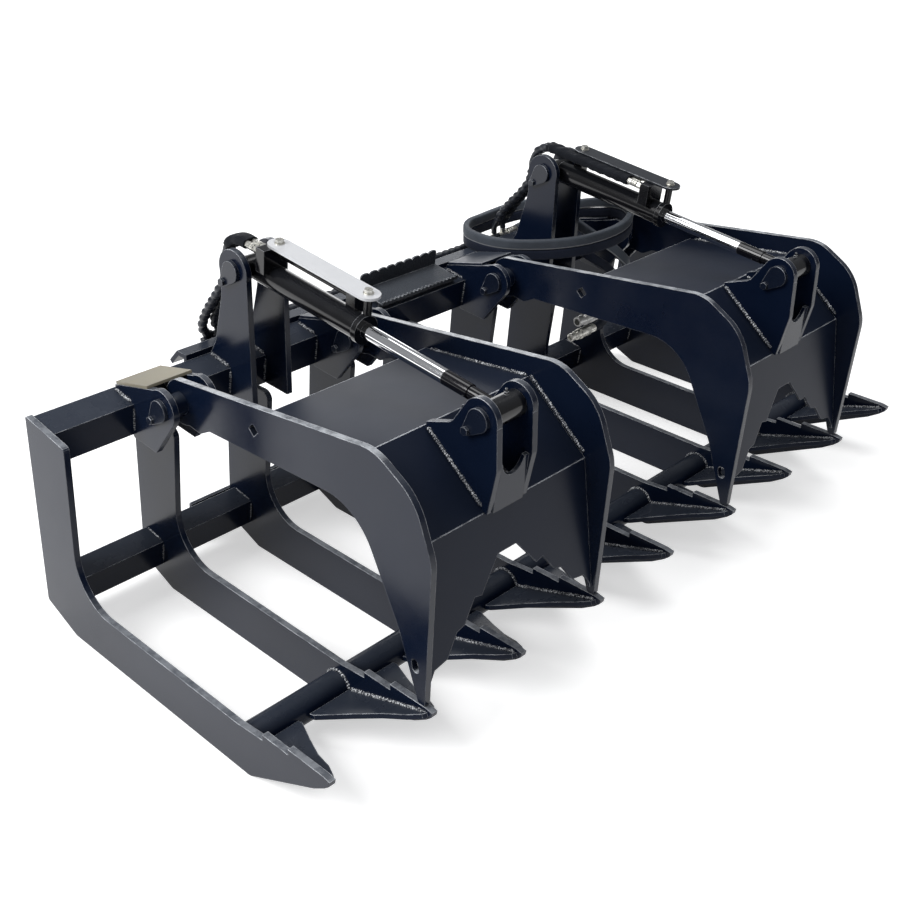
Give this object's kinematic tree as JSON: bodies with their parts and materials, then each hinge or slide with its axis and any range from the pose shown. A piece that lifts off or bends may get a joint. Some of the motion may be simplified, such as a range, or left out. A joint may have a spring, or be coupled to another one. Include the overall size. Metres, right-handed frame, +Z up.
{
  "type": "root grapple",
  "caption": "Loader root grapple with a rack of toothed curved tines and two hydraulic lids, each a bent toothed cover between side plates, with hoses and a rear hitch.",
  "frame": {"origin": "on the ground, under the middle of the grapple's width and depth", "axes": "+X across the width to the hose side's right, +Y to the loader at the rear, +Z up; the teeth point to -Y"},
  "size_m": [1.8416, 0.9346, 0.7456],
  "materials": {
    "navy_powder_coat": "glossy",
    "black_paint": "glossy",
    "pin_steel": "satin",
    "chrome": "polished",
    "zinc": "satin",
    "guard_plate": "satin",
    "rubber": "matte",
    "sleeve_fabric": "matte"
  },
  "bodies": {
    "frame": {"tine_1": "navy_powder_coat", "tine_2": "navy_powder_coat", "tine_3": "navy_powder_coat", "tine_4": "navy_powder_coat", "tine_5": "navy_powder_coat", "tine_6": "navy_powder_coat", "tine_7": "navy_powder_coat", "tine_8": "navy_powder_coat", "tine_9": "navy_powder_coat", "tooth_wings": "navy_powder_coat", "upper_tube": "navy_powder_coat", "lower_tube": "navy_powder_coat", "front_pipe": "navy_powder_coat", "hinge_ears": "navy_powder_coat", "bracket_covers": "navy_powder_coat", "towers": "navy_powder_coat", "hitch_top": "navy_powder_coat", "hitch_sill": "navy_powder_coat", "foot_step": "navy_powder_coat", "frame_pins": "pin_steel", "frame_pin_bolts": "zinc", "cylinder_hoses": "rubber", "hose_tees": "zinc", "lead_hose_a": "rubber", "lead_hose_b": "rubber", "couplers": "zinc"},
    "lid_left": {"lid_left_outer_side": "navy_powder_coat", "lid_left_inner_side": "navy_powder_coat", "lid_left_cover": "navy_powder_coat", "lid_left_ears": "navy_powder_coat", "lid_left_hinge_tubes": "navy_powder_coat", "lid_left_pin": "pin_steel", "lid_left_pin_bolt": "zinc"},
    "cylinder_left": {"barrel_left": "black_paint", "gland_left": "black_paint", "rear_eye_left": "black_paint", "ports_left": "black_paint", "guard_left": "guard_plate", "guard_bolts_left": "zinc", "sleeve_left": "sleeve_fabric"},
    "rod_left": {"rod_left": "chrome", "piston_left": "pin_steel", "rod_eye_left": "black_paint"},
    "lid_right": {"lid_right_inner_side": "navy_powder_coat", "lid_right_outer_side": "navy_powder_coat", "lid_right_cover": "navy_powder_coat", "lid_right_ears": "navy_powder_coat", "lid_right_hinge_tubes": "navy_powder_coat", "lid_right_pin": "pin_steel", "lid_right_pin_bolt": "zinc"},
    "cylinder_right": {"barrel_right": "black_paint", "gland_right": "black_paint", "rear_eye_right": "black_paint", "ports_right": "black_paint", "guard_right": "black_paint", "guard_bolts_right": "zinc", "sleeve_right": "sleeve_fabric"},
    "rod_right": {"rod_right": "chrome", "piston_right": "pin_steel", "rod_eye_right": "black_paint"}
  },
  "joints": [
    {"name": "lid_left_hinge", "type": "hinge", "parent": "frame", "child": "lid_left", "pos_m": [-0.4572, 0.19874, 0.479], "axis": [-1, 0, 0], "range_deg": [0, 44]},
    {"name": "cylinder_left_hinge", "type": "hinge", "parent": "frame", "child": "cylinder_left", "pos_m": [-0.4572, 0.25974, 0.674], "axis": [-1, 0, 0], "range_deg": [0, 42.3]},
    {"name": "rod_left_slide", "type": "slide", "parent": "cylinder_left", "child": "rod_left", "axis": [0, 0.9929, 0.1186], "range_m": [0, 0.1524]},
    {"name": "lid_right_hinge", "type": "hinge", "parent": "frame", "child": "lid_right", "pos_m": [0.4572, 0.19874, 0.479], "axis": [-1, 0, 0], "range_deg": [0, 44]},
    {"name": "cylinder_right_hinge", "type": "hinge", "parent": "frame", "child": "cylinder_right", "pos_m": [0.4572, 0.25974, 0.674], "axis": [-1, 0, 0], "range_deg": [0, 42.3]},
    {"name": "rod_right_slide", "type": "slide", "parent": "cylinder_right", "child": "rod_right", "axis": [0, 0.9929, 0.1186], "range_m": [0, 0.1524]}
  ],
  "couplings": [
    {"joint": "cylinder_left_hinge", "follows": "lid_left_hinge", "ratio": 0.9607},
    {"joint": "rod_left_slide", "follows": "lid_left_hinge", "m_per_rad": 0.19838},
    {"joint": "cylinder_right_hinge", "follows": "lid_right_hinge", "ratio": 0.9607},
    {"joint": "rod_right_slide", "follows": "lid_right_hinge", "m_per_rad": 0.19838}
  ]
}
